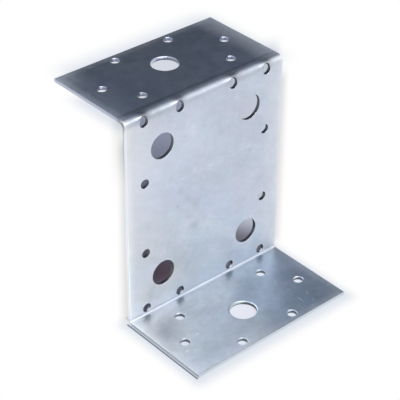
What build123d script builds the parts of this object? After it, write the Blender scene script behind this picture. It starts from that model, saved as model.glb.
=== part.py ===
"""Z bracket folded from one sheet of zinc coated steel.

The web stands upright in the XZ plane. The foot flange runs out to -Y from its lower end and the head
flange runs out to +Y from its upper end, so the section is the same turned half round about X. X runs along
the two folds. The origin lies under the middle of the web, on the plane that the foot flange rests on.
"""
import os
from math import asin, cos, pi, sin, sqrt, tan

from build123d import *

# Sheet and folds, in mm
width = 100.0  # along the folds
height = 119.0  # over both flanges
flange_length = 54.5  # from the far face of the web to the free edge
sheet = 2.0
inside_fold_radius = 1.5

# Punched holes, by diameter
bolt_hole = 14.0
screw_hole = 5.0

# Columns of holes, each side of the middle of the width
inner_column = 17.0
bolt_column = 28.0
outer_column = 39.0

# Rows on the web, in from the upper and the lower end
end_row = 5.0
web_bolt_row = 22.0
side_row = 39.0
web_row_lift = 0.7  # the folds were made this much low of the rows, so every web row sits high

# Rows on the flanges, in from the free edge
free_edge_row = 5.0
flange_bolt_row = 23.0
root_row = 40.0

# Broken edges on the skin that the punch and the shear come in from
rim_chamfer = 0.3
edge_roll = 0.2

# Worked out from the sizes above
half_sheet = sheet / 2
middle_fold_radius = inside_fold_radius + half_sheet
outside_fold_radius = inside_fold_radius + sheet
free_edge = flange_length - half_sheet  # from the middle of the web
mid_height = height / 2 + web_row_lift
bolt_row_rise = height / 2 - web_bolt_row
side_row_rise = height / 2 - side_row
end_row_rise = height / 2 - end_row
screw_radius = screw_hole / 2
bolt_radius = bolt_hole / 2

wrap_points = 9  # points on the part of an outline that lies in a fold


def wrapped_curve(fold_distance, depth):
    """List points on the part of an end row hole that lies in the fold, at this depth behind mid sheet.

    fold_distance is from the centre of the hole up to the start of the fold. The hole is punched in the
    flat blank, so past that line each point of its circle turns with the sheet about the fold's axis.
    """
    first_angle = asin(fold_distance / screw_radius)
    points = []
    for step in range(wrap_points):
        angle = first_angle + (pi - 2 * first_angle) * step / (wrap_points - 1)
        turn = (screw_radius * sin(angle) - fold_distance) / middle_fold_radius
        rise = fold_distance + (middle_fold_radius - depth) * tan(turn)
        points.append((screw_radius * cos(angle), rise))
    return points


def end_row_punch(row_distance):
    """Make the cutter for a hole whose centre lies row_distance from an end of the web."""
    fold_distance = row_distance - outside_fold_radius
    front = -(half_sheet + inside_fold_radius)
    back = half_sheet + 0.8 * inside_fold_radius
    with BuildPart() as punch:
        if fold_distance >= screw_radius:
            with BuildSketch(Plane.XZ.offset(-front)):
                Circle(screw_radius)
            extrude(amount=front - back)
        else:
            half_chord = sqrt(screw_radius**2 - fold_distance**2)
            for depth in (front, back):
                with BuildSketch(Plane.XZ.offset(-depth)):
                    with BuildLine():
                        ThreePointArc(
                            (-half_chord, fold_distance),
                            (0, -screw_radius),
                            (half_chord, fold_distance),
                        )
                        Spline(*wrapped_curve(fold_distance, depth))
                    make_face()
            loft(ruled=True)
    return punch.part


upper_end_punch = end_row_punch(end_row - web_row_lift)
lower_end_punch = end_row_punch(end_row + web_row_lift)

with BuildPart() as z_bracket:
    # The section is the middle line of the sheet, thickened to the sheet
    with BuildSketch(Plane.YZ):
        with BuildLine():
            FilletPolyline(
                (-free_edge, half_sheet),
                (0, half_sheet),
                (0, height - half_sheet),
                (free_edge, height - half_sheet),
                radius=middle_fold_radius,
            )
        trace(line_width=sheet)
    extrude(amount=width / 2, both=True)

    # The skin that the shear and the punch come in from faces forwards on the web and upwards on the flanges
    level_faces = z_bracket.faces().filter_by(Axis.Z).sort_by(Axis.Z)
    upright_faces = z_bracket.faces().filter_by(Axis.Y).sort_by(SortBy.AREA)
    fold_faces = z_bracket.faces().filter_by(GeomType.CYLINDER).sort_by(Axis.Z)
    foot_top = level_faces[1]
    head_top = level_faces[3]
    web_front = upright_faces[-2:].sort_by(Axis.Y)[0]
    lower_inside = fold_faces[:2].sort_by(SortBy.AREA)[0]
    upper_outside = fold_faces[2:].sort_by(SortBy.AREA)[-1]
    skin = ShapeList([foot_top, lower_inside, web_front, upper_outside, head_top])
    left_edges = skin.edges().filter_by_position(Axis.X, -width / 2, -width / 2)
    right_edges = skin.edges().filter_by_position(Axis.X, width / 2, width / 2)
    foot_edge = foot_top.edges().sort_by(Axis.Y)[0]
    head_edge = head_top.edges().sort_by(Axis.Y)[-1]
    fillet(left_edges + right_edges + foot_edge + head_edge, radius=edge_roll)

    # Web, seen from the front
    with BuildSketch(Plane.XZ):
        with Locations((0, mid_height)):
            with GridLocations(2 * bolt_column, 2 * bolt_row_rise, 2, 2):
                Circle(bolt_radius)
            with GridLocations(2 * outer_column, 2 * side_row_rise, 2, 2):
                Circle(screw_radius)
    extrude(amount=sheet, both=True, mode=Mode.SUBTRACT)

    # Each flange, with its free edge on its own side of the web
    for side, face_height in ((-1, 0), (1, height - sheet)):
        with BuildSketch(Plane.XY.offset(face_height)):
            with Locations((0, side * (free_edge - flange_bolt_row))):
                Circle(bolt_radius)
                with Locations((-outer_column, 0), (outer_column, 0)):
                    Circle(screw_radius)
            with Locations((0, side * (free_edge - free_edge_row))):
                with Locations((-inner_column, 0), (inner_column, 0)):
                    Circle(screw_radius)
            with Locations((0, side * (free_edge - root_row))):
                with Locations((-bolt_column, 0), (bolt_column, 0)):
                    Circle(screw_radius)
        extrude(amount=sheet, mode=Mode.SUBTRACT)

    # The rims of these holes are broken on the punched skin
    rims = z_bracket.edges().filter_by(GeomType.CIRCLE).filter_by(lambda edge: edge.is_closed)
    web_rims = rims.filter_by_position(Axis.Y, -half_sheet, -half_sheet)
    foot_rims = rims.filter_by_position(Axis.Z, sheet, sheet)
    head_rims = rims.filter_by_position(Axis.Z, height, height)
    chamfer(web_rims + foot_rims + head_rims, length=rim_chamfer)

    # The end rows run into the folds, so their rims stay square
    end_columns = (-outer_column, -inner_column, inner_column, outer_column)
    with Locations(*[Location((column, 0, mid_height + end_row_rise)) for column in end_columns]):
        add(upper_end_punch, mode=Mode.SUBTRACT)
    with Locations(*[Location((column, 0, mid_height - end_row_rise), (180, 0, 0)) for column in end_columns]):
        add(lower_end_punch, mode=Mode.SUBTRACT)

z_bracket.part.label = "z_bracket"

os.makedirs("parts", exist_ok=True)
export_step(z_bracket.part, "parts/z_bracket.step")
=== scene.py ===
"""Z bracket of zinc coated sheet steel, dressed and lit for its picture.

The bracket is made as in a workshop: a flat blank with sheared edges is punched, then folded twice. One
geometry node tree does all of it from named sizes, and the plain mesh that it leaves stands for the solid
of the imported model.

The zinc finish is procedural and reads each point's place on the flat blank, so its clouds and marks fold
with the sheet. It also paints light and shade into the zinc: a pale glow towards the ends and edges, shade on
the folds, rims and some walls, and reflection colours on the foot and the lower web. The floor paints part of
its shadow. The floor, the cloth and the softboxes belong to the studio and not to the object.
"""
from math import cos, pi, radians, sin

import bpy
from mathutils import Matrix, Vector


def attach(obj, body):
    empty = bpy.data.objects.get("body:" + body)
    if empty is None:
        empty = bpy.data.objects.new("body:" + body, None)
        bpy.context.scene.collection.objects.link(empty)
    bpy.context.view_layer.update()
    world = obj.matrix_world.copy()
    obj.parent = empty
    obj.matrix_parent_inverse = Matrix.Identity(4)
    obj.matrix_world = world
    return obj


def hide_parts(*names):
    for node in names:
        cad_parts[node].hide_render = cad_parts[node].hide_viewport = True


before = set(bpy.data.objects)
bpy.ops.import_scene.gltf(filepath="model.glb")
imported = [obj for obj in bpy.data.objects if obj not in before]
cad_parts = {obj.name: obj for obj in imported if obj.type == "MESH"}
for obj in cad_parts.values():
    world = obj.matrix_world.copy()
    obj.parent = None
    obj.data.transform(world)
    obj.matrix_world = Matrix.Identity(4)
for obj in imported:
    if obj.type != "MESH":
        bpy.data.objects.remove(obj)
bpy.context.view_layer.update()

mm = 0.001

# Sizes of the bracket, each a named input of its node tree
bracket_sizes = {
    "Width": 100 * mm,
    "Height": 119 * mm,
    "Flange": 54.5 * mm,
    "Sheet": 2 * mm,
    "Inside fold radius": 1.5 * mm,
    "Bolt hole radius": 7 * mm,
    "Screw hole radius": 2.5 * mm,
    "Inner column": 17 * mm,
    "Bolt column": 28 * mm,
    "Outer column": 39 * mm,
    "End row": 5 * mm,
    "Web bolt row": 22 * mm,
    "Side row": 39 * mm,
    "Web row lift": 0.7 * mm,
    "Free edge row": 5 * mm,
    "Flange bolt row": 23 * mm,
    "Root row": 40 * mm,
    "Edge roll": 0.25 * mm,
    "Web rim roll": 0.08 * mm,
    "Flange screw rim roll": 0.42 * mm,
    "Flange bolt rim roll": 0.65 * mm,
    "Torn depth": 0.9 * mm,
    "Tear": 0.07 * mm,
    "Burr": 0.05 * mm,
    "Edge sag": 0.07 * mm,
    "Sag reach": 1.1 * mm,
    "Fold end bulge": 0.16 * mm,
    "Eave rise": 0.5 * mm,
    "Eave push": 0.25 * mm,
    "Eave half width": 2.3 * mm,
}

# Rows and columns of the blank's mesh, counted from its middle outwards
columns_mid = 58
columns_edge = 5
rows_web = 16
rows_near_fold = 14
rows_fold = 18
rows_root = 8
rows_flange = 14
rows_edge = 5
edge_zone = 3 * mm
web_fold_zone = 9 * mm
root_zone = 6 * mm

# Steps up a sheared wall: burr, torn zone and burnished zone, then the rolled skin
wall_steps = 3
roll_steps = 4

# The punches
bolt_sides = 72
screw_sides = 40
overcut = 0.6 * mm  # how far a punch runs past both skins
skin_clearance = 0.001 * mm  # keeps a punch's roll from ending in the plane of the skin
eave_past_fold = 0.8 * mm  # how far past the upper fold the eaves over its holes die out

# Small marks of handling on the flat blank, each with its x and s in mm, its radius in mm and its strength,
# which is below nothing where the mark is darker
handling_marks = (
    (-16.8, 7.0, 1.5, -0.11),
    (-11.9, 1.3, 2.0, -0.10),
    (-6.6, -5.2, 2.2, -0.08),
    (-18.5, -0.6, 0.8, -0.20),
    (-11.9, -10.1, 1.4, -0.10),
    (-7.5, -17.0, 2.2, -0.14),
    (-1.2, -15.6, 1.1, -0.10),
    (29.4, 12.8, 0.7, -0.16),
    (-13.9, 37.7, 0.7, -0.10),
    (-22.8, 17.3, 1.2, -0.08),
    (-36.9, -4.7, 0.6, -0.08),
    (10.0, 31.4, 1.0, -0.06),
    (-7.8, 15.8, 1.0, 0.09),
    (2.4, 14.2, 1.0, 0.08),
    (28.1, 14.9, 0.8, 0.08),
    (-22.5, -52.1, 0.5, 0.15),
    (-30.0, -87.2, 0.5, 0.22),
    (-42.7, -93.8, 0.5, 0.25),
    (-14.7, -88.0, 0.9, 0.10),
    (-22.0, -110.0, 0.4, 0.25),
    (29.8, -108.3, 0.4, 0.40),
)

# Broad patches of painted light and shade, paler and darker, given in the same way
painted_patches = (
    (35.0, -51.0, 6.0, -0.13),
    (40.0, -9.0, 7.0, -0.07),
    (47.0, -70.0, 8.0, 0.32),
    (-22.0, -79.0, 7.0, -0.07),
    (46.0, -61.0, 5.0, -0.25),
    (38.0, -95.0, 12.0, 0.16),
    (-18.0, -21.0, 13.0, 0.13),
    (-20.0, 37.0, 13.0, 0.13),
    (-34.0, -8.0, 12.0, 0.07),
    (-30.0, 66.0, 12.0, -0.16),
)

# Scratches, each with the x and s of one end and of the other in mm, and its strength
scratch_marks = (
    (35.4, -97.8, 34.2, -100.1, 0.9),
    (28.2, -98.0, 28.3, -102.3, 0.8),
    (33.2, -103.9, 32.7, -106.0, 0.7),
    (28.6, -90.4, 28.9, -91.8, 0.5),
)
scratch_half_width = 0.18 * mm
scratch_strong_part = 0.32  # half of it, as a share of the scratch's length

# Colour of the zinc in the middle of the web, as linear red, green and blue
zinc_tone = (0.548, 0.602, 0.704)

# Streaks of wiping, which run to the right and down on the blank
wipe_right = 0.9
wipe_down = 0.43
wipe_stretch = 0.16  # less draws the pattern out more along the streaks

# Where the finish goes over from the web to the flanges on the blank, and half the width of that change
fold_end = 60 * mm
mask_edge = 1 * mm

# A line of sight past the left or the right side of the web runs this far right for each step back
left_sight = 0.78
right_sight = 1.01

# The studio, in metres and degrees
floor_reach = 4.0
floor_level = -0.05 * mm
studio_middle = Vector((0, 0, 60 * mm))  # what the lamps and the cloth stand round
cloth_distance = 1.4
cloth_bearings = range(84, 217, 6)
cloth_elevations = range(10, 91, 4)
even_fill = 0.06  # light of the surround on what isn't seen directly

# The camera, fitted to the rims of the holes and the corners of the flanges in the photo, in mm and degrees
focal_length = 127.435
film_width = 36.0
camera_place = (-389.8, -439.211, 454.458)
camera_turn = -41.36
camera_elevation = 34.304
camera_roll = 0.507

# Edges of the bracket that turn by more than this stay sharp
sharp_turn = 32


class Flow:
    """A number or vector on its way through a node tree. Plain arithmetic on it adds Math nodes."""

    def __init__(self, tree, socket):
        self.tree = tree
        self.socket = socket

    def __add__(self, other):
        return arithmetic(self.tree, "ADD", self, other)

    def __radd__(self, other):
        return arithmetic(self.tree, "ADD", other, self)

    def __sub__(self, other):
        return arithmetic(self.tree, "SUBTRACT", self, other)

    def __rsub__(self, other):
        return arithmetic(self.tree, "SUBTRACT", other, self)

    def __mul__(self, other):
        return arithmetic(self.tree, "MULTIPLY", self, other)

    def __truediv__(self, other):
        return arithmetic(self.tree, "DIVIDE", self, other)

    def __neg__(self):
        return arithmetic(self.tree, "MULTIPLY", self, -1.0)

    def __abs__(self):
        return arithmetic(self.tree, "ABSOLUTE", self)

    def sine(self):
        return arithmetic(self.tree, "SINE", self)

    def root(self):
        return arithmetic(self.tree, "SQRT", self)

    def cosine(self):
        return arithmetic(self.tree, "COSINE", self)

    def sign(self):
        return arithmetic(self.tree, "SIGN", self)

    def exponential(self):
        return arithmetic(self.tree, "EXPONENT", self)

    def lower_of(self, other):
        return arithmetic(self.tree, "MINIMUM", self, other)

    def higher_of(self, other):
        return arithmetic(self.tree, "MAXIMUM", self, other)

    def clamped(self, low, high):
        return self.higher_of(low).lower_of(high)

    def ramp(self, start, end, first=0.0, last=1.0):
        """Go smoothly from first to last while the value goes from start to end."""
        inputs = {"Value": self, "From Min": start, "From Max": end, "To Min": first, "To Max": last}
        node = add_node(self.tree, "ShaderNodeMapRange", inputs, interpolation_type="SMOOTHSTEP")
        return Flow(self.tree, node.outputs["Result"])

    def hump(self, centre, half_width):
        """Give a bell of height one round the centre."""
        off = (self - centre) / half_width
        return (off * off * -0.5).exponential()


def add_node(tree, kind, inputs=None, **settings):
    """Add a node with its settings, and join or fill its inputs by name or number."""
    node = tree.nodes.new(kind)
    for name, value in settings.items():
        setattr(node, name, value)
    for key, value in (inputs or {}).items():
        if isinstance(value, Flow):
            tree.links.new(value.socket, node.inputs[key])
        else:
            node.inputs[key].default_value = value
    return node


def result_of(tree, kind, inputs=None, output=0, **settings):
    """Add a node and give one of its results."""
    return Flow(tree, add_node(tree, kind, inputs, **settings).outputs[output])


def arithmetic(tree, operation, *values):
    """Add a Math node and give its result."""
    return result_of(tree, "ShaderNodeMath", dict(enumerate(values)), operation=operation)


def split(tree, vector):
    """Give the three numbers of a vector."""
    node = add_node(tree, "ShaderNodeSeparateXYZ", {0: vector})
    return [Flow(tree, socket) for socket in node.outputs]


def vector_of(tree, x, y, z):
    """Join three numbers into a vector."""
    return result_of(tree, "ShaderNodeCombineXYZ", {0: x, 1: y, 2: z})


def place_of_points(tree):
    """Give the three coordinates of the points that a node works on."""
    return split(tree, result_of(tree, "GeometryNodeInputPosition"))


def moved(tree, shape, place):
    """Move the points of a shape to a place."""
    return result_of(tree, "GeometryNodeSetPosition", {"Geometry": shape, "Position": place})


def paced(steps, zones):
    """Give the distance after a number of steps, where each zone is so many steps over so long a way."""
    distance = 0.0
    done = 0
    for count, length in zones:
        distance = (steps - done).clamped(0, count) * (length / count) + distance
        done += count
    return distance


def sheared_wall(step, roll, sizes, over):
    """Give the height and setback of a sheared wall at a step, from the burr up over the rolled skin.

    The setback is how far the wall stands back from the line of the cut. A punch runs over past both skins.
    """
    half, burr, tear, torn = [sizes[name] for name in ("Half sheet", "Burr", "Tear", "Torn depth")]
    first, second, third = [(step - start).clamped(0, 1) for start in range(wall_steps)]
    turn = ((step - wall_steps) / roll_steps).clamped(0, 1) * (pi / 2)
    past = (step - (wall_steps + roll_steps)).clamped(0, 1) * over
    straight = first * (burr + over) + second * (torn - burr) + third * (half * 2 - torn - roll)
    height = straight - half - over + roll * turn.sine() + past
    setback = (1 - first) * (burr + over) + (1 - second) * tear + roll * (1 - turn.cosine()) + past
    return height, setback


def flat_blank(tree, sizes):
    """Make the blank before punching, lying flat, with the skin that the tools enter from on top."""
    columns = 2 * (columns_mid + columns_edge)
    rows = 2 * (rows_web + rows_near_fold + rows_fold + rows_root + rows_flange + rows_edge)
    layers = wall_steps + roll_steps
    counts = {"Size": (1, 1, 1), "Vertices X": columns + 1, "Vertices Y": rows + 1, "Vertices Z": layers + 1}
    cube = result_of(tree, "GeometryNodeMeshCube", counts)
    x, y, z = place_of_points(tree)
    across = paced(abs(x) * columns, (
        (columns_mid, sizes["Half width"] - edge_zone),
        (columns_edge, edge_zone),
    ))
    along = paced(abs(y) * rows, (
        (rows_web, sizes["Web half"] - web_fold_zone),
        (rows_near_fold, web_fold_zone),
        (rows_fold, sizes["Fold length"]),
        (rows_root, root_zone),
        (rows_flange, sizes["Flange flat"] - root_zone - edge_zone),
        (rows_edge, edge_zone),
    ))
    height, setback = sheared_wall((z + 0.5) * layers, sizes["Edge roll"], sizes, 0.0)
    across = across.lower_of(sizes["Half width"] - setback)
    along = along.lower_of(sizes["Blank half"] - setback)
    to_side = (across - sizes["Half width"]) / sizes["Sag reach"]
    to_end = (along - sizes["Blank half"]) / sizes["Sag reach"]
    sag = (to_side.exponential() + to_end.exponential()) * sizes["Edge sag"]
    height = height - sag * (z * 2).clamped(0, 1)
    return moved(tree, cube, vector_of(tree, x.sign() * across, y.sign() * along, height))


def punch(tree, sizes, radius, roll, sides):
    """Make the tool that leaves one hole, upright through the blank, with its rim rolled over."""
    steps = wall_steps + roll_steps + 1
    shape = {"Vertices": sides, "Side Segments": steps, "Radius": 1.0, "Depth": 1.0}
    cylinder = result_of(tree, "GeometryNodeMeshCylinder", shape)
    x, y, z = place_of_points(tree)
    height, setback = sheared_wall((z + 0.5) * steps, roll, sizes, overcut)
    reach = radius + setback
    return moved(tree, cylinder, vector_of(tree, x * reach, y * reach, height + skin_clearance))


def four_centres(tree, column, row, lift=0.0):
    """Mark four hole centres, a column each side of the middle and a row each way from it."""
    spread = {"Size X": column * 2, "Size Y": row * 2, "Vertices X": 2, "Vertices Y": 2}
    grid = result_of(tree, "GeometryNodeMeshGrid", spread)
    lifted = {"Geometry": grid, "Translation": vector_of(tree, 0, lift, 0)}
    return result_of(tree, "GeometryNodeTransform", lifted)


def join(tree, shapes):
    """Join shapes into one."""
    node = add_node(tree, "GeometryNodeJoinGeometry")
    for shape in shapes:
        tree.links.new(shape.socket, node.inputs[0])
    return Flow(tree, node.outputs[0])


def punched(tree, blank, sizes):
    """Punch every hole of the blank."""
    lift = sizes["Web row lift"]
    web_end = sizes["Half height"] - sizes["End row"]
    web_side = sizes["Half height"] - sizes["Side row"]
    web_bolt = sizes["Half height"] - sizes["Web bolt row"]
    flange_bolt = sizes["Blank half"] - sizes["Flange bolt row"]
    flange_free = sizes["Blank half"] - sizes["Free edge row"]
    flange_root = sizes["Blank half"] - sizes["Root row"]
    inner, middle, outer = sizes["Inner column"], sizes["Bolt column"], sizes["Outer column"]
    web_screws = join(tree, [
        four_centres(tree, outer, web_end, lift),
        four_centres(tree, inner, web_end, lift),
        four_centres(tree, outer, web_side, lift),
    ])
    flange_screws = join(tree, [
        four_centres(tree, inner, flange_free),
        four_centres(tree, outer, flange_bolt),
        four_centres(tree, middle, flange_root),
    ])
    web_bolts = four_centres(tree, middle, web_bolt, lift)
    flange_bolts = result_of(tree, "GeometryNodeMeshLine", {
        "Count": 2,
        "Start Location": vector_of(tree, 0, -flange_bolt, 0),
        "Offset": vector_of(tree, 0, flange_bolt * 2, 0),
    })
    screw, bolt = sizes["Screw hole radius"], sizes["Bolt hole radius"]
    tools = []
    for centres, radius, roll, sides in (
        (web_screws, screw, sizes["Web rim roll"], screw_sides),
        (web_bolts, bolt, sizes["Web rim roll"], bolt_sides),
        (flange_screws, screw, sizes["Flange screw rim roll"], screw_sides),
        (flange_bolts, bolt, sizes["Flange bolt rim roll"], bolt_sides),
    ):
        tool = punch(tree, sizes, radius, roll, sides)
        tools.append(result_of(tree, "GeometryNodeInstanceOnPoints", {"Points": centres, "Instance": tool}))
    tools = result_of(tree, "GeometryNodeRealizeInstances", {"Geometry": join(tree, tools)})
    cut = add_node(tree, "GeometryNodeMeshBoolean", {0: blank}, operation="DIFFERENCE", solver="MANIFOLD")
    tree.links.new(tools.socket, cut.inputs[1])
    return Flow(tree, cut.outputs[0])


def marked(tree, shape, sizes):
    """Keep what the finish reads: each point's place in the flat blank and how far it lies inside the
    sheared edges, which faces are sheared walls, punched walls or rolled rims, and how far these face right.
    """
    x, s = place_of_points(tree)[:2]
    inward = (sizes["Half width"] - abs(x)).lower_of(sizes["Blank half"] - abs(s))
    facing_x, facing_s, upright = split(tree, result_of(tree, "GeometryNodeInputNormal"))
    sideways = (facing_x * facing_x + facing_s * facing_s).root().higher_of(0.1)

    # A wall faces nearly sideways, and a rolled rim leans a little from the skin
    wall = abs(upright).ramp(0.3, 0.5, 1.0, 0.0)
    at_hole = inward.ramp(0.4 * mm, 0.6 * mm)
    punched_wall = wall * at_hole
    rolled = (abs(upright).ramp(0.93, 0.98, 1.0, 0.0) - wall) * at_hole
    for name, value, data_type, domain in (
        ("blank", result_of(tree, "GeometryNodeInputPosition"), "FLOAT_VECTOR", "POINT"),
        ("inward", inward, "FLOAT", "POINT"),
        ("sheared", wall - punched_wall, "FLOAT", "FACE"),
        ("punched", punched_wall, "FLOAT", "FACE"),
        ("rolled", rolled, "FLOAT", "FACE"),
        ("facing_x", facing_x / sideways, "FLOAT", "FACE"),
    ):
        kept = {"Geometry": shape, "Name": name, "Value": value}
        shape = result_of(tree, "GeometryNodeStoreNamedAttribute", kept, data_type=data_type, domain=domain)
    return shape


def folded(tree, shape, sizes):
    """Fold the blank at both ends of the web, a quarter turn each, one up and one back."""
    x, s, h = place_of_points(tree)
    radius, web_half, fold_length = sizes["Middle fold radius"], sizes["Web half"], sizes["Fold length"]
    before = s + web_half + fold_length
    after = s - web_half
    lower_turn = (before / radius).clamped(0, pi / 2)
    upper_turn = (after / radius).clamped(0, pi / 2)
    turn = lower_turn - upper_turn
    out = before.lower_of(0) - radius + radius * lower_turn.sine()
    out = out + radius * (1 - upper_turn.cosine()) + (after - fold_length).higher_of(0)
    up = sizes["Half sheet"] + radius * (1 - lower_turn.cosine())
    up = up + (s + web_half).clamped(0, web_half * 2) + radius * upper_turn.sine()

    # At the ends of a fold the inner side squeezes out and the outer side draws in
    squeeze = ((lower_turn * 2).sine() - (upper_turn * 2).sine()) * h / sizes["Half sheet"]
    end_reach = ((abs(x) - sizes["Half width"]) / sizes["Sag reach"]).exponential()
    side = x + x.sign() * end_reach * squeeze * sizes["Fold end bulge"]

    # Over each hole of the upper end row the metal bends less and stands out as a small eave
    hole_middle = sizes["Half height"] - sizes["End row"] + sizes["Web row lift"]
    hole_top = hole_middle + sizes["Screw hole radius"]
    wide = sizes["Eave half width"]
    eave = abs(x).hump(sizes["Inner column"], wide) + abs(x).hump(sizes["Outer column"], wide)
    eave_end = web_half + fold_length + eave_past_fold
    eave = eave * s.ramp(hole_middle, hole_top) * s.ramp(eave_end, hole_top)
    out = out - h * turn.sine() - eave * sizes["Eave push"]
    up = up + h * turn.cosine() + eave * sizes["Eave rise"]
    return moved(tree, shape, vector_of(tree, side, out, up))


def bracket_tree(material):
    """Build the node tree that makes the bracket from its named sizes."""
    tree = bpy.data.node_groups.new("punched_and_folded_sheet", "GeometryNodeTree")
    for name, size in bracket_sizes.items():
        socket = tree.interface.new_socket(name=name, in_out="INPUT", socket_type="NodeSocketFloat")
        socket.default_value = size
    tree.interface.new_socket(name="Geometry", in_out="OUTPUT", socket_type="NodeSocketGeometry")
    entry = tree.nodes.new("NodeGroupInput")
    sizes = {name: Flow(tree, entry.outputs[name]) for name in bracket_sizes}
    sizes["Half sheet"] = sizes["Sheet"] / 2
    sizes["Half width"] = sizes["Width"] / 2
    sizes["Half height"] = sizes["Height"] / 2
    sizes["Middle fold radius"] = sizes["Inside fold radius"] + sizes["Half sheet"]
    sizes["Fold length"] = sizes["Middle fold radius"] * (pi / 2)
    corner = sizes["Middle fold radius"] + sizes["Half sheet"]
    sizes["Web half"] = sizes["Half height"] - corner
    sizes["Flange flat"] = sizes["Flange"] - corner
    sizes["Blank half"] = sizes["Web half"] + sizes["Fold length"] + sizes["Flange flat"]

    shape = punched(tree, flat_blank(tree, sizes), sizes)
    shape = folded(tree, marked(tree, shape, sizes), sizes)
    shape = result_of(tree, "GeometryNodeRealizeInstances", {"Geometry": shape})
    shape = result_of(tree, "GeometryNodeSetMaterial", {"Geometry": shape, "Material": material})
    leave = tree.nodes.new("NodeGroupOutput")
    tree.links.new(shape.socket, leave.inputs["Geometry"])
    return tree


def made_piece(name, tree, sizes):
    """Run a node tree with its sizes and keep the result as a plain mesh."""
    piece = bpy.data.objects.new(name, bpy.data.meshes.new(name + "_start"))
    bpy.context.scene.collection.objects.link(piece)
    modifier = piece.modifiers.new("make", "NODES")
    modifier.node_group = tree
    for socket in tree.interface.items_tree:
        if socket.in_out == "INPUT":
            modifier[socket.identifier] = sizes[socket.name]
    ready = piece.evaluated_get(bpy.context.evaluated_depsgraph_get())
    mesh = bpy.data.meshes.new_from_object(ready)
    piece.modifiers.remove(modifier)
    mesh.name = name
    piece.data = mesh
    return piece


def new_material(name):
    """Start a material with an empty tree, and give it with its output node."""
    material = bpy.data.materials.new(name)
    material.use_nodes = True
    material.node_tree.nodes.clear()
    output = material.node_tree.nodes.new("ShaderNodeOutputMaterial")
    return material, output


def noise(tree, place, size, detail=3.0, harshness=0.55, distortion=0.0):
    """Give a soft random pattern whose patches are about this size."""
    return result_of(tree, "ShaderNodeTexNoise", {
        "Vector": place,
        "Scale": 1 / size,
        "Detail": detail,
        "Roughness": harshness,
        "Distortion": distortion,
    })


def attribute(tree, name, output="Fac"):
    """Read one of the numbers or vectors kept on the mesh."""
    return result_of(tree, "ShaderNodeAttribute", output=output, attribute_name=name)


def rubbed_spots(x, s, spots):
    """Add up soft round marks, each given by its place and radius in mm and its strength."""
    total = 0.0
    for centre_x, centre_s, radius, strength in spots:
        off_x = x - centre_x * mm
        off_s = s - centre_s * mm
        fall = -0.5 / (radius * mm) ** 2
        total = ((off_x * off_x + off_s * off_s) * fall).exponential() * strength + total
    return total


def fine_scratches(x, s, scratches):
    """Add up thin straight marks that run nearly along the blank and fade towards both ends."""
    total = 0.0
    for start_x, start_s, end_x, end_s, strength in scratches:
        along = (s - start_s * mm) / ((end_s - start_s) * mm)
        line = x - (along.clamped(0, 1) * ((end_x - start_x) * mm) + start_x * mm)
        shown = line.hump(0, scratch_half_width) * along.hump(0.5, scratch_strong_part)
        total = shown * strength + total
    return total


class CoatedSheet:
    """What the finish reads at a point of the sheet, with each mask one inside its place and nothing outside.

    x, s and h give the place on the flat blank: along the folds, from the middle of the web towards the head,
    and through the sheet towards the skin that the tools came in from. In what follows a ramp goes from one
    such place to another, and a hump stands round one, with its half width.
    """

    def __init__(self, tree):
        self.tree = tree
        self.blank = attribute(tree, "blank", "Vector")
        self.x, self.s, self.h = split(tree, self.blank)
        self.inward = attribute(tree, "inward")
        self.sheared = attribute(tree, "sheared")
        self.punched = attribute(tree, "punched")
        self.rolled = attribute(tree, "rolled")
        self.skin = 1 - self.sheared - self.punched

        # The parts of the sheet, which meet where the folds end
        self.web = abs(self.s).ramp(fold_end + mask_edge, fold_end - mask_edge)
        self.head = self.s.ramp(fold_end - mask_edge, fold_end + mask_edge)
        self.foot = self.s.ramp(mask_edge - fold_end, -mask_edge - fold_end)
        self.flange = 1 - self.web

        # The holes: a flange has only its bolt hole near the middle of its width, some walls in the head turn
        # away from the camera and take painted shade, and those in the lower end row of the web show a
        # crescent that the lamps light on a duller wall and that is brightened as painted light
        self.facing_left = -attribute(tree, "facing_x")
        self.screw_hole = abs(self.x).ramp(8 * mm, 10 * mm)
        self.turned_away = self.facing_left.ramp(0.5, 0.1) * self.screw_hole * self.head
        low_row = self.s.ramp(-54.9 * mm, -55.5 * mm) * self.web
        self.lit_and_painted_crescent = low_row * self.facing_left.ramp(-0.1, 0.35) * self.h.ramp(-0.5 * mm, 0.1 * mm)


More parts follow.
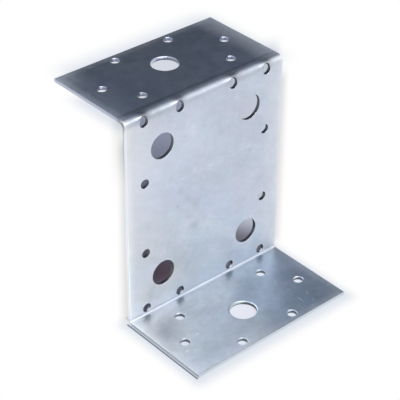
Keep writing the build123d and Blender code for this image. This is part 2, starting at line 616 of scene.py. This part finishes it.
def skin_shade(at, clouds, grain):
    """Give the lightness of the skin, from the clouds in its zinc down to marks, with painted light and shade
    in patches, along the folds and on the rolls.
    """
    x, s, foot, head = at.x, at.s, at.foot, at.head
    banks = noise(at.tree, at.blank, 22 * mm, detail=2.0, distortion=0.6).ramp(0.3, 0.7, 0.965, 1.035)
    cloudy = 1 + clouds.ramp(0.25, 0.75, -1, 1) * (0.045 + foot * 0.035)
    grainy = 1 + grain.ramp(0.2, 0.8, -1, 1) * (0.02 + foot * 0.02)
    along_wipe = (x * wipe_right - s * wipe_down) * wipe_stretch
    across_wipe = x * wipe_down + s * wipe_right
    wiping = noise(at.tree, vector_of(at.tree, along_wipe, across_wipe, at.h), 2.4 * mm)
    wiping = wiping.ramp(0.25, 0.75, 0.975, 1.025)

    # Marks of handling and patches of painted light and shade, only on the skin that the tools came in from,
    # and a rub across the web
    marks = rubbed_spots(x, s, handling_marks + painted_patches) + fine_scratches(x, s, scratch_marks)
    marks = marks * at.h.ramp(-0.4 * mm, 0.4 * mm)
    rub_line = s.hump(14.5 * mm, 0.7 * mm) * x.ramp(-30 * mm, -24 * mm) * x.ramp(26 * mm, 18 * mm)

    # Painted shade that dims the highlights of both folds, thin lines of painted shade just past them, and
    # painted dark caps over the holes of the upper end row, where the fold's highlight breaks
    upper_fold_shade = s.hump(58 * mm, 1.6 * mm) * (0.2 + x.ramp(-24 * mm, -42 * mm) * 0.06)
    head_fold_shade_line = s.hump(62 * mm, 0.8 * mm) * 0.28
    lower_fold_shade = s.hump(-57.4 * mm, 1 * mm) * (0.12 + x.ramp(-8 * mm, -34 * mm) * 0.14)
    root_shade_line = s.hump(-60.3 * mm, 0.7 * mm) * 0.06
    end_hole = abs(x).hump(bracket_sizes["Inner column"], 1.8 * mm)
    end_hole = end_hole + abs(x).hump(bracket_sizes["Outer column"], 1.8 * mm)
    hole_cap_shade = end_hole * s.hump(58.5 * mm, 1.4 * mm) * 0.38

    # The flanges are darker than the web, the left of the foot most, except along its front and its fold
    foot_front = s.ramp(-101 * mm, -107 * mm) * x.ramp(8 * mm, -8 * mm) * 0.09
    foot_root = s.hump(-62 * mm, 3 * mm) * x.ramp(8 * mm, -4 * mm) * 0.08
    foot_depth = 0.2 + x.ramp(20 * mm, -10 * mm) * 0.05 - foot_front - foot_root
    marks_and_shade = marks + rub_line * 0.035 - upper_fold_shade - head_fold_shade_line - lower_fold_shade - root_shade_line - hole_cap_shade
    shade = banks * cloudy * grainy * wiping * (1 + marks_and_shade - head * 0.08 - foot * foot_depth)

    # Painted shade on the rolls along the front of the foot, along the left of the head and round the holes
    # of the head
    front_roll_shade = s.ramp(-110.3 * mm, -110.7 * mm) * 0.36
    head_roll_shade = x.ramp(-49.6 * mm, -49.8 * mm) * head * 0.4
    rim_roll_shade = at.rolled * (at.turned_away * 0.7 + head * 0.2)
    return shade * (1 - front_roll_shade - head_roll_shade) * (1 - rim_roll_shade)


def painted_glow(at):
    """Give the painted pale light on the skin, a glow that grows towards the ends and close to every sheared
    edge.
    """
    x, s, web, head, inward = at.x, at.s, at.web, at.head, at.inward
    web_left = x.ramp(-18 * mm, -50 * mm) * s.ramp(-57 * mm, -38 * mm, 0.10, 0.33) * s.ramp(58 * mm, 54 * mm)
    head_corner = s.ramp(92 * mm, 111 * mm) * 0.17
    flange_left = x.ramp(-33 * mm, -49 * mm) * (at.flange * 0.03 + head * (0.02 + head_corner))
    low_right = x.ramp(38 * mm, 46 * mm) * s.ramp(-14 * mm, -34 * mm) * web
    right_end = x.ramp(35 * mm, 46 * mm) * (0.04 + web * 0.11 + head * 0.15 - low_right * 0.09)
    ends = web_left * web + flange_left + right_end
    edge_line = (inward / (-1.2 * mm)).exponential() * (0.10 + web * 0.24 - low_right * 0.14)
    border = inward.ramp(4.8 * mm, 2 * mm) * (0.04 + at.flange * 0.03)
    left_border = x.ramp(-42 * mm, -48 * mm) * s.ramp(-36 * mm, -14 * mm) * s.ramp(40 * mm, 20 * mm)
    left_border = left_border * inward.ramp(7 * mm, 1.5 * mm) * 0.12
    upper_fold = s.hump(fold_end, 0.9 * mm) * 0.08
    return (ends + edge_line + border + left_border + upper_fold) * at.skin


def punched_tone(at):
    """Give the tone of the punched walls: a bright burnished band over a torn one, darker on the web, with
    painted shade on some walls and a painted lit crescent.
    """

    # The torn band reaches higher on the right of each hole, and more so in the foot's screw holes: painted
    # shade on the walls that face left
    tear_and_shade_top = at.facing_left.ramp(0.4, 0.85, -0.55 * mm, 0.5 * mm)
    foot_screw = at.facing_left.ramp(0.4, 0.85, 0.65 * mm, 0.25 * mm) * at.screw_hole * at.foot
    burnished = (at.h - (tear_and_shade_top + foot_screw)).ramp(-0.15 * mm, 0.15 * mm)
    flange_wall = 0.24 + at.head * 0.12 + at.screw_hole * 0.08 + burnished * (0.85 - at.head * 0.1)
    # Painted shade on the walls in the head that turn away from the camera
    flange_wall = flange_wall * (1 - at.turned_away * 0.6)
    return at.web * 0.18 + at.lit_and_painted_crescent * 1.1 + at.flange * flange_wall


def sheared_tone(at):
    """Give the tone of the sheared walls: bright, with a thin lip line and darker torn bands, and painted
    shade on the left walls and low on the flanges' ends.
    """
    x, s, h = at.x, at.s, at.h
    low_wall = s.ramp(-10 * mm, -40 * mm) * at.web * 0.1
    # The torn band low on the flanges' ends, darkened further as painted shade
    flange_tear_and_shade = abs(x).ramp(49.2 * mm, 49.5 * mm) * at.flange * h.ramp(-0.5 * mm, -0.9 * mm) * 0.4
    lip_line = h.hump(0.55 * mm, 0.11 * mm) * 0.3
    # On the left walls: the web's torn band with painted shade that grows towards the top of the web, and
    # painted shade on the head's wall and by the upper fold
    web_tear_and_shade = at.web * h.ramp(0.1 * mm, -0.6 * mm) * (0.15 + s.ramp(12 * mm, 46 * mm) * 0.6)
    upper_fold = s.hump(58 * mm, 2.6 * mm) * 0.6
    left_wall_shade = x.ramp(0, -10 * mm) * (at.head * 0.4 + web_tear_and_shade + upper_fold)
    return 1.5 - at.flange * 0.2 - low_wall - flange_tear_and_shade - lip_line - left_wall_shade


def zinc_colour(at, shade, pale_light):
    """Tint the zinc, which is bluish as a whole, and lay the painted pale light over it."""
    x, s = at.x, at.s
    hue = noise(at.tree, at.blank, 13 * mm, distortion=1.2).ramp(0.3, 0.7, -1.0, 1.0)
    bare_wall = at.sheared * at.web * s.ramp(-25 * mm, 30 * mm)
    head_rim = (1 - at.skin + at.rolled) * at.head
    head_right = at.head * x.ramp(0, 28 * mm)
    # Where the foot mirrors the cloth and the web, and where the lower web mirrors the foot; their tints are
    # painted reflection colour
    foot_right = at.foot * at.skin * (x - (s + 85 * mm) * 0.35).ramp(-48 * mm, 20 * mm)
    foot_right = foot_right * (1 - x.ramp(12 * mm, -12 * mm) * s.ramp(-84 * mm, -98 * mm))
    foot_left = at.foot * at.skin * x.ramp(2 * mm, -22 * mm)
    web_low = s.ramp(14 * mm, -26 * mm) * s.ramp(-56 * mm, -42 * mm, 0.6, 1.0) * s.ramp(-57 * mm, -55 * mm)
    web_low = web_low * (s + x * 0.9).ramp(-4 * mm, -20 * mm)
    low_left = web_low * x.ramp(-8 * mm, -24 * mm) * s.ramp(-32 * mm, -44 * mm)
    low_right = web_low * x.hump(18 * mm, 16 * mm)

    # How much red, green and blue each place has more than the middle of the web
    tints = (
        (hue, 0.014, 0.0, 0.006),
        (bare_wall, 0.05, 0.025, -0.03),
        # Painted reflection colour where the lower web mirrors the foot
        (web_low, 0.08, 0.035, -0.045),
        (low_left, 0.045, 0.02, 0.0),
        (low_right, 0.03, 0.03, 0.03),
        (at.flange, 0.02, 0.004, -0.049),
        (at.head, 0.0, -0.03, -0.04),
        (head_right, 0.0, 0.02, 0.05),
        (head_rim, 0.0, 0.03, 0.14),
        (at.foot, 0.0, 0.0, -0.02),
        # Painted reflection colour where the foot mirrors the cloth on its right and the web on its left
        (foot_right, -0.055, 0.0, 0.09),
        (foot_left, -0.01, 0.012, 0.045),
    )
    red, green, blue = zinc_tone
    for place, more_red, more_green, more_blue in tints:
        red = place * more_red + red
        green = place * more_green + green
        blue = place * more_blue + blue
    clear = 1 - pale_light
    return vector_of(
        at.tree,
        shade * red * clear + pale_light * (1 - at.head * 0.1),
        shade * green * clear + pale_light,
        shade * blue * clear + pale_light * (1 + at.head * 0.2),
    )


def zinc_coat():
    """Make the satin zinc finish: cloudy patina on the skin, a painted pale light towards sheared edges, bare
    cut walls, and painted shade and reflection colours in places.
    """
    material, output = new_material("zinc_coat")
    tree = material.node_tree
    at = CoatedSheet(tree)
    clouds = noise(tree, at.blank, 5 * mm, detail=4.0, harshness=0.62, distortion=0.8)
    grain = noise(tree, at.blank, 0.9 * mm, detail=2.0)
    pale_light = painted_glow(at)
    shade = skin_shade(at, clouds, grain) * at.skin
    shade = shade + at.sheared * sheared_tone(at) + at.punched * punched_tone(at)
    roughness = clouds.ramp(0.25, 0.75, 0.32, 0.37) - at.head * 0.04 + at.foot * 0.04 + (1 - at.skin) * 0.1
    waves = noise(tree, at.blank, 9 * mm, detail=1.0) * (0.012 * mm)
    dimples = noise(tree, at.blank, 2.8 * mm, detail=1.0) * (0.0022 * mm)
    relief = waves + dimples + grain * (0.0005 * mm)
    bump = add_node(tree, "ShaderNodeBump", {"Strength": 1.0, "Distance": 1.0, "Height": relief})
    shader = add_node(tree, "ShaderNodeBsdfPrincipled", {
        "Base Color": zinc_colour(at, shade, pale_light),
        "Metallic": 1 - pale_light * at.flange * 1.4 - at.lit_and_painted_crescent * at.punched,
        "Roughness": roughness,
    })
    tree.links.new(bump.outputs[0], shader.inputs["Normal"])
    tree.links.new(shader.outputs[0], output.inputs["Surface"])
    return material


def staged(name, corners, faces, material):
    """Make a mesh that belongs to the studio and not to the object."""
    mesh = bpy.data.meshes.new(name)
    mesh.from_pydata(corners, [], faces)
    mesh.materials.append(material)
    piece = bpy.data.objects.new(name, mesh)
    bpy.context.scene.collection.objects.link(piece)
    return piece


def towards(bearing, elevation):
    """Give the direction at a bearing from the front round to the right, in degrees."""
    turn, rise = radians(bearing), radians(elevation)
    return Vector((sin(turn) * cos(rise), -cos(turn) * cos(rise), sin(rise)))


def seen_directly(tree):
    """Give one for what the camera, a reflection or a clear body sees, and nothing for other light."""
    path = add_node(tree, "ShaderNodeLightPath")
    kinds = ("Is Camera Ray", "Is Glossy Ray", "Is Transmission Ray")
    camera, mirror, clear = [Flow(tree, path.outputs[kind]) for kind in kinds]
    return camera.higher_of(mirror).higher_of(clear)


def soft_patch(x, y, left, right, front, back, fade_x, fade_y):
    """Give one inside an upright rectangle on the floor, going softly to nothing outside it."""
    across = x.ramp(left - fade_x, left) * x.ramp(right + fade_x, right)
    return across * y.ramp(front - fade_y, front) * y.ramp(back + fade_y, back)


def shadow_paint(tree, x, y, left_side, right_side):
    """Give the share of its own paint and shadow that the floor shows at a place, and that paint."""

    # Behind the web, with sides that grow softer with distance, then under the head and under the foot
    half_shadow = bracket_sizes["Width"] / 2 + 1 * mm
    soft_edge = y * 0.06 + 4 * mm
    behind_web = ((left_side + half_shadow) / soft_edge).ramp(0, 1)
    behind_web = behind_web * ((half_shadow - right_side) / soft_edge).ramp(0, 1)
    behind_web = behind_web * y.ramp(0.0, 4 * mm) * y.ramp(184 * mm, 148 * mm)
    under_head = soft_patch(
        x, y, left=100 * mm, right=174 * mm, front=178 * mm, back=212 * mm, fade_x=14 * mm, fade_y=12 * mm)
    under_foot = soft_patch(
        x, y, left=-48 * mm, right=48 * mm, front=-51 * mm, back=5 * mm, fade_x=1 * mm, fade_y=1 * mm)
    # Painted light to the right of the web: the paint is lighter there, and the white glow shows through
    # more, most a little way behind the web
    lit_right = right_side.ramp(-50 * mm, 28 * mm)
    lit_near = y.hump(36 * mm, 7 * mm) * lit_right
    share = behind_web * (1 - lit_right * 0.13 - lit_near * 0.2)
    share = share.higher_of(under_head * 0.2).higher_of(under_foot * 0.3)

    # The paint is bluish grey, lighter to the right as painted light, with painted shadow in a darker band
    # far back and in violet and warm patches close to the web
    far_shadow_band = y.hump(152 * mm, 9 * mm) * behind_web
    violet = (x * 0.6 + y * 0.8).ramp(60 * mm, 36 * mm) * y.ramp(60 * mm, 32 * mm) * behind_web * lit_right
    warm = x.hump(-9 * mm, 9 * mm) * y.hump(22 * mm, 9 * mm) * behind_web
    bright = (0.64 + lit_right * 0.46) * (1 - far_shadow_band * 0.12) * (1 - violet * 0.6)
    colour = vector_of(
        tree,
        bright * (0.76 + warm * 0.04 + violet * 0.12),
        bright * (0.82 - warm * 0.30),
        bright * (1.12 - lit_right * 0.14 + violet * 0.32 - warm * 0.42),
    )
    return share, result_of(tree, "ShaderNodeBsdfDiffuse", {"Color": colour})


def white_glow(tree, x, y, left_side, right_side, contact_shadow):
    """Give the even white that hides the shadow elsewhere, under a faint painted shadow close round the
    object.
    """
    # Painted shadow: a faint grey close round the web, over its top, round the head and round the foot, with
    # a little under the foot's bolt hole
    web_veil = left_side.ramp(-58 * mm, -49 * mm) * right_side.ramp(58 * mm, 48 * mm)
    web_veil = web_veil * y.ramp(-2 * mm, 8 * mm) * y.ramp(148 * mm, 128 * mm)
    top_veil = left_side.ramp(-64 * mm, -53 * mm) * left_side.ramp(-38 * mm, -48 * mm)
    top_veil = top_veil * y.ramp(95 * mm, 135 * mm) * y.ramp(172 * mm, 152 * mm)
    head_veil = soft_patch(
        x, y, left=88 * mm, right=196 * mm, front=166 * mm, back=222 * mm, fade_x=22 * mm, fade_y=27 * mm)
    left_veil = soft_patch(
        x, y, left=68 * mm, right=80 * mm, front=158 * mm, back=188 * mm, fade_x=14 * mm, fade_y=22 * mm)
    foot_veil = soft_patch(
        x, y, left=-50 * mm, right=49 * mm, front=-53.5 * mm, back=-1 * mm, fade_x=9 * mm, fade_y=10 * mm)
    foot_hole = soft_patch(
        x, y, left=-10 * mm, right=10 * mm, front=-40 * mm, back=-14 * mm, fade_x=8 * mm, fade_y=8 * mm)
    shadow_veil = head_veil.higher_of(foot_veil).higher_of(left_veil) * (1 - web_veil)
    clear = 1 - web_veil * 0.3 - top_veil * 0.16 - contact_shadow * 0.6
    colour = vector_of(
        tree,
        clear - shadow_veil * 0.25 - foot_hole * 0.01,
        clear - shadow_veil * 0.215 - foot_hole * 0.045,
        clear - shadow_veil * 0.15 - foot_hole * 0.075,
    )
    return result_of(tree, "ShaderNodeEmission", {"Color": colour, "Strength": 1.0})


def pale_floor():
    """Lay a floor that keeps the lamps' shadow behind and close to the object, with painted shadow and light
    there too, and is plain white further out.
    """
    material, output = new_material("pale_floor")
    tree = material.node_tree
    x, y = split(tree, result_of(tree, "ShaderNodeTexCoord", output="Object"))[:2]
    left_side = x - y * left_sight
    right_side = x - y * right_sight

    # A painted shadow runs along the left end of the foot, where it meets the floor
    contact_shadow = x.ramp(-51.4 * mm, -50.9 * mm) * x.ramp(-50.1 * mm, -50.4 * mm)
    contact_shadow = contact_shadow * y.ramp(-53.9 * mm, -53.2 * mm) * y.ramp(1 * mm, 0.0)
    painted, paint = shadow_paint(tree, x, y, left_side, right_side)
    glow = white_glow(tree, x, y, left_side, right_side, contact_shadow)
    glowing = (1 - painted * (1 - contact_shadow)) * seen_directly(tree)
    mix = add_node(tree, "ShaderNodeMixShader", {0: glowing, 1: paint, 2: glow})
    tree.links.new(mix.outputs[0], output.inputs["Surface"])
    around = ((-1, -1), (1, -1), (1, 1), (-1, 1))
    corners = [(side * floor_reach, end * floor_reach, floor_level) for side, end in around]
    staged("pale_floor", corners, [(0, 1, 2, 3)], material)


def dark_canopy():
    """Hang a slate cloth behind and above, for the level faces to mirror. Only reflections see it."""
    material, output = new_material("slate_cloth")
    tree = material.node_tree
    depth, height = split(tree, result_of(tree, "ShaderNodeTexCoord", output="Object"))[1:]

    # The cloth is nearly black, with light on its low hem, high at its back and high towards the front
    low_hem = height.ramp(0.52, 0.36)
    high_back = height.ramp(0.80, 0.92) * depth.ramp(0.56, 0.70)
    high_front = height.ramp(0.92, 1.06) * depth.ramp(0.64, 0.48)
    colour = vector_of(
        tree,
        low_hem * 0.10 + high_back * 0.20 + high_front * 0.36 + 0.015,
        low_hem * 0.11 + high_back * 0.30 + high_front * 0.38 + 0.012,
        low_hem * 0.13 + high_back * 0.46 + high_front * 0.42 + 0.010,
    )
    slate = result_of(tree, "ShaderNodeEmission", {"Color": colour, "Strength": 1.0})
    tree.links.new(slate.socket, output.inputs["Surface"])
    directions = [towards(bearing, elevation) for bearing in cloth_bearings for elevation in cloth_elevations]
    corners = [studio_middle + direction * cloth_distance for direction in directions]
    faces = []
    high = len(cloth_elevations)
    for strip in range(len(cloth_bearings) - 1):
        for step in range(high - 1):
            first = strip * high + step
            faces.append((first, first + high, first + high + 1, first + 1))
    cloth = staged("slate_cloth", corners, faces, material)
    cloth.visible_camera = False
    cloth.visible_diffuse = False
    cloth.visible_shadow = False


def softbox(name, bearing, elevation, distance, width, height, radiance, colour=(1.0, 1.0, 1.0)):
    """Stand a lit panel that faces the object. Its radiance is one where a mirror of it shows white."""
    lamp = bpy.data.lights.new(name, "AREA")
    lamp.shape = "RECTANGLE"
    lamp.size = width
    lamp.size_y = height
    lamp.energy = radiance * pi * width * height
    lamp.color = colour
    panel = bpy.data.objects.new(name, lamp)
    back = towards(bearing, elevation)
    panel.location = studio_middle + back * distance
    panel.rotation_euler = back.to_track_quat("Z", "Y").to_euler()
    panel.visible_camera = False
    bpy.context.scene.collection.objects.link(panel)
    return panel


def studio_world():
    """Set a white surround for the camera and reflections, and a dimmer even fill for other light."""
    world = bpy.data.worlds.new("studio")
    world.use_nodes = True
    tree = world.node_tree
    tree.nodes.clear()
    strength = seen_directly(tree) * (1 - even_fill) + even_fill
    surround = add_node(tree, "ShaderNodeBackground", {"Strength": strength, "Color": (1.0, 1.0, 1.0, 1.0)})
    output = tree.nodes.new("ShaderNodeOutputWorld")
    tree.links.new(surround.outputs[0], output.inputs["Surface"])
    bpy.context.scene.world = world


def photo_camera():
    """Stand the camera where the photo was taken from."""
    lens = bpy.data.cameras.new("camera")
    lens.sensor_width = film_width
    lens.lens = focal_length
    lens.clip_start = 0.01
    lens.clip_end = 100.0
    camera = bpy.data.objects.new("camera", lens)
    turned = Matrix.Rotation(radians(camera_turn), 4, "Z")
    tipped = Matrix.Rotation(radians(90 - camera_elevation), 4, "X")
    rolled = Matrix.Rotation(radians(camera_roll), 4, "Z")
    stand = Matrix.Translation(Vector(camera_place) * mm)
    camera.matrix_world = stand @ turned @ tipped @ rolled
    bpy.context.scene.collection.objects.link(camera)
    bpy.context.scene.camera = camera


bracket = made_piece("folded_sheet", bracket_tree(zinc_coat()), bracket_sizes)
bracket.data.shade_smooth()
bracket.data.set_sharp_from_angle(angle=radians(sharp_turn))
weighted = bracket.modifiers.new("weighted_normals", "WEIGHTED_NORMAL")
weighted.keep_sharp = True
weighted.weight = 60
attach(bracket, "root")
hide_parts("z_bracket")

pale_floor()
dark_canopy()
warm_box = softbox(
    "front_right_softbox", bearing=52, elevation=37, distance=0.75, width=0.75, height=0.75,
    radiance=0.16, colour=(1.0, 0.95, 0.8))
warm_box.visible_diffuse = False
softbox(
    "front_softbox", bearing=4, elevation=42, distance=1.6, width=0.8, height=0.5,
    radiance=13.0)
softbox(
    "camera_side_softbox", bearing=-41, elevation=54, distance=1.6, width=0.45, height=0.45,
    radiance=14.0)
studio_world()
photo_camera()
bpy.context.scene.view_settings.view_transform = "Standard"
